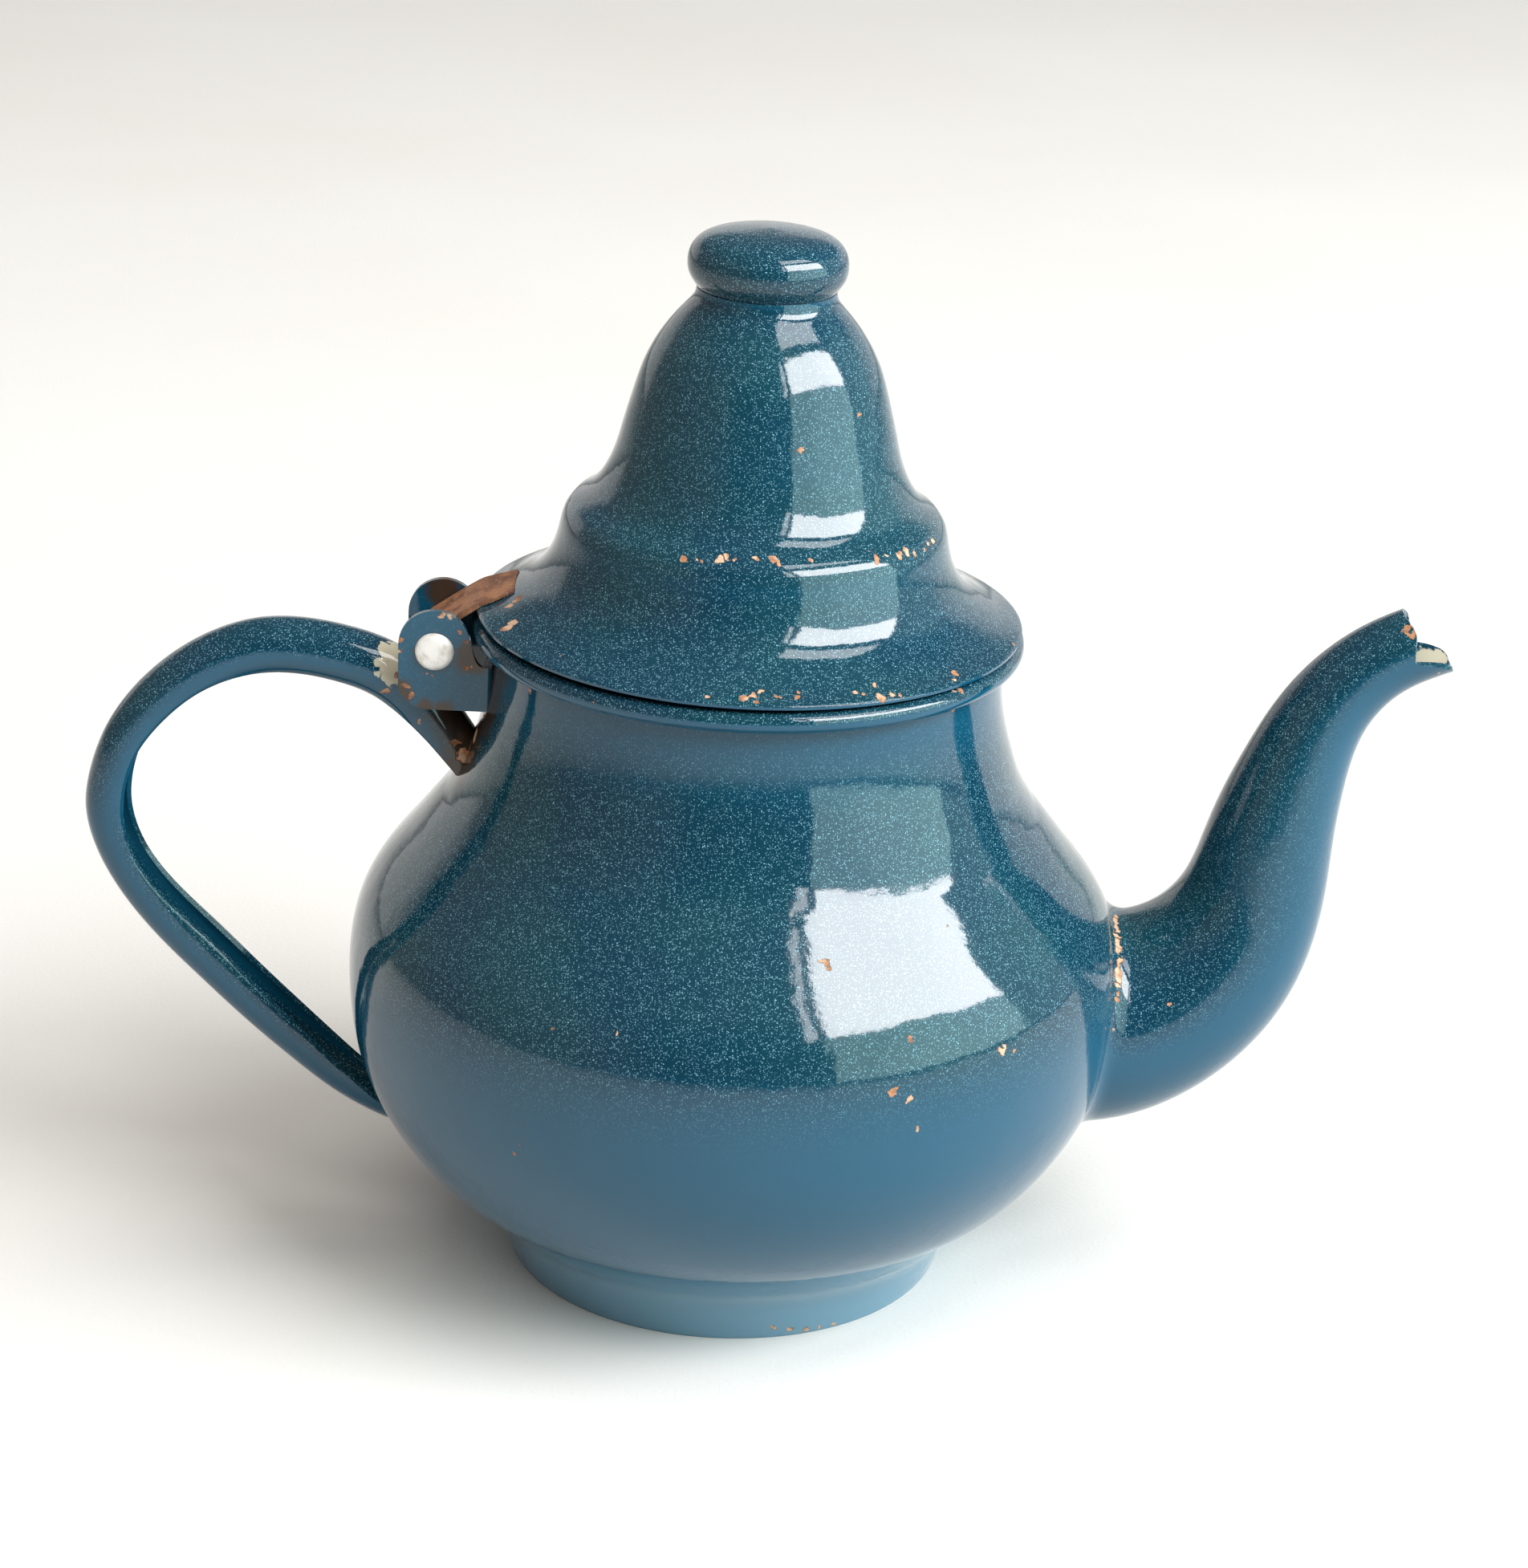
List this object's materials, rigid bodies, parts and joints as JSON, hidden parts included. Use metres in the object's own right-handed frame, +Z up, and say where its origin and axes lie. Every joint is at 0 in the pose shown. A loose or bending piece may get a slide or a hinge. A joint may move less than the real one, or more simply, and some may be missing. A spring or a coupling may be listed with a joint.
{
  "type": "small enamelled teapot with hinged lid",
  "caption": "Pear-shaped enamelled steel pot with a curved pouring spout, open C-section handle and a hinged conical lid with a bun knob; steeps and pours tea.",
  "frame": {"origin": "centre of the foot ring on the plane the pot stands on", "axes": "+Z up along the pot's axis, +X toward the spout, +Y to the left of the spout; the lid hinge turns about Y on the -X side"},
  "size_m": [0.199, 0.1148, 0.1578],
  "materials": {
    "enamel_body": "glossy speckled vitreous enamel, petrol blue, on sheet steel",
    "enamel_base": "glossy speckled vitreous enamel, petrol blue, on sheet steel",
    "enamel_spout": "glossy speckled vitreous enamel, petrol blue, on sheet steel",
    "enamel_handle": "glossy speckled vitreous enamel, petrol blue, on sheet steel",
    "enamel_bracket": "glossy speckled vitreous enamel, petrol blue, on sheet steel",
    "enamel_lid": "glossy speckled vitreous enamel, petrol blue, on sheet steel",
    "enamel_knob": "glossy speckled vitreous enamel, petrol blue, on sheet steel",
    "rivet": "dull white aluminium with worn patches",
    "strap": "bare sheet steel, rusty"
  },
  "bodies": {
    "pot": {"body_shell": "enamel_body", "base_plate": "enamel_base", "spout": "enamel_spout", "handle": "enamel_handle", "hinge_bracket": "enamel_bracket", "hinge_rivet": "rivet"},
    "lid": {"lid_shell": "enamel_lid", "lid_knob": "enamel_knob", "lid_hinge_strap": "strap"}
  },
  "joints": [
    {"name": "lid_hinge", "type": "hinge", "parent": "pot", "child": "lid", "pos_m": [-0.0449, 0, 0.0958], "axis": [0, -1, 0], "range_deg": [0, 105]}
  ]
}
